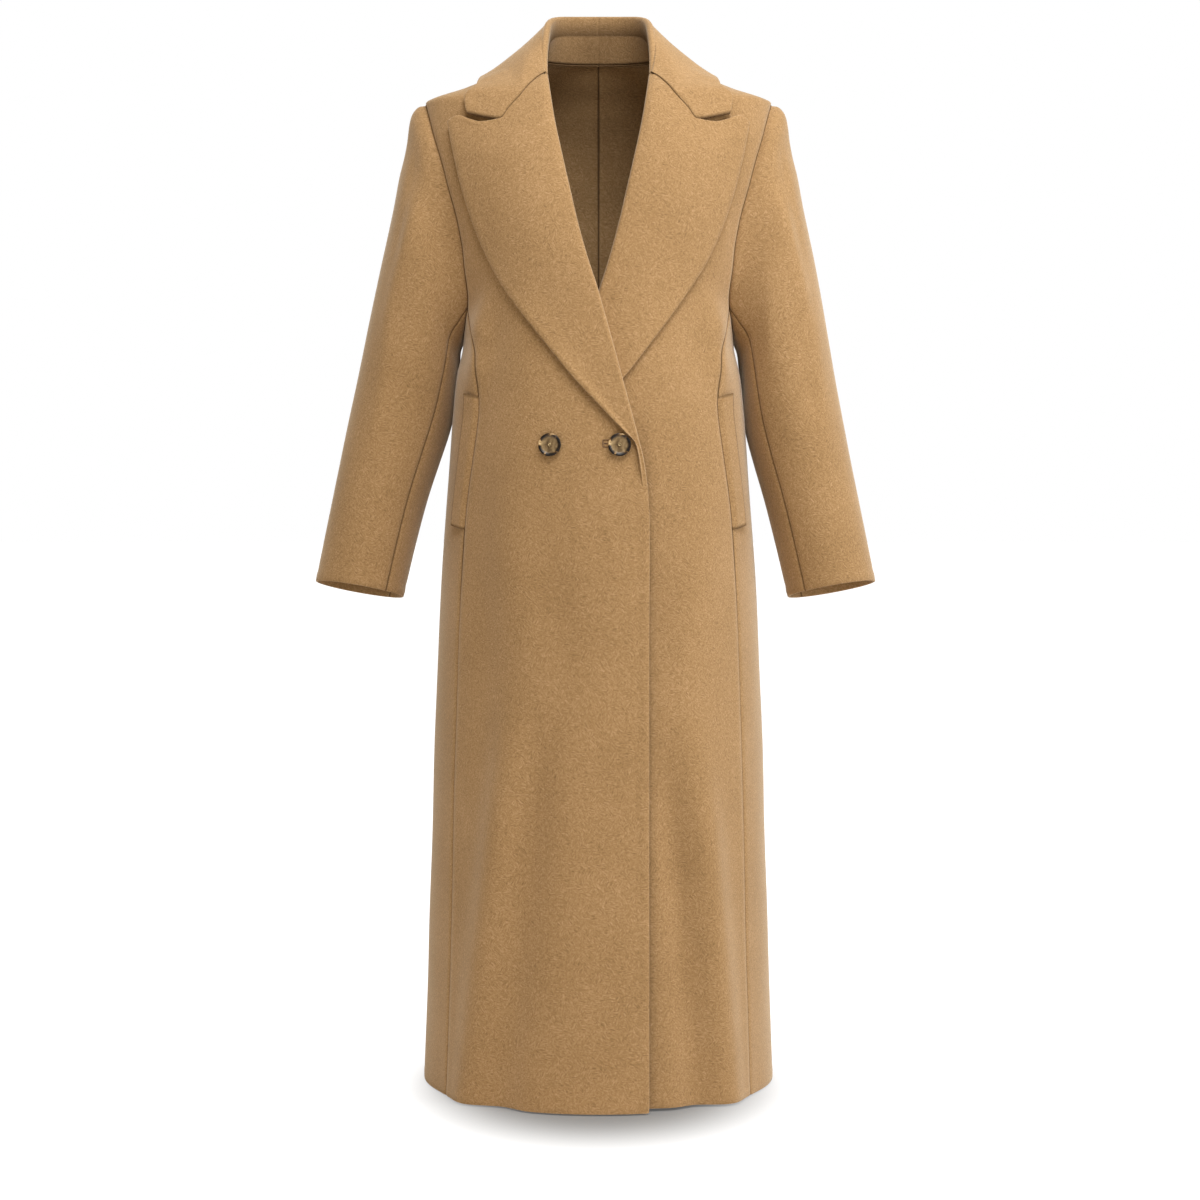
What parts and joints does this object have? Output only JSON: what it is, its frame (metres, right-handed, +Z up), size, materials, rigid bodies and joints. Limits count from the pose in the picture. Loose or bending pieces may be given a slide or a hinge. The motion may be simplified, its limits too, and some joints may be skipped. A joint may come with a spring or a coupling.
{
  "type": "long coat",
  "caption": "Long double-breasted wool coat with peak lapels and two-piece sleeves, filled out as worn, open and hollow at neck, cuffs and hem.",
  "frame": {"origin": "middle of the neck opening, level with the inner ends of the shoulder seams, where the coat is held up", "axes": "+Z up along the coat, -Y out of the coat's front, +X towards the wearer's left"},
  "size_m": [0.674, 0.3439, 1.282],
  "materials": {
    "camel_wool": "brushed wool coating, soft and matt",
    "horn": "polished horn, mottled dark brown and tan",
    "brass": "satin"
  },
  "bodies": {
    "root": {"front_right": "camel_wool", "side_right": "camel_wool", "back_right": "camel_wool", "lapel_right": "camel_wool", "collar_right": "camel_wool", "stand_right": "camel_wool", "top_sleeve_right": "camel_wool", "under_sleeve_right": "camel_wool", "welt_right": "camel_wool", "front_left": "camel_wool", "side_left": "camel_wool", "back_left": "camel_wool", "lapel_left": "camel_wool", "collar_left": "camel_wool", "stand_left": "camel_wool", "top_sleeve_left": "camel_wool", "under_sleeve_left": "camel_wool", "welt_left": "camel_wool", "button_1": "horn", "button_2": "horn", "button_stud_1": "brass", "button_stud_2": "brass"}
  },
  "joints": []
}
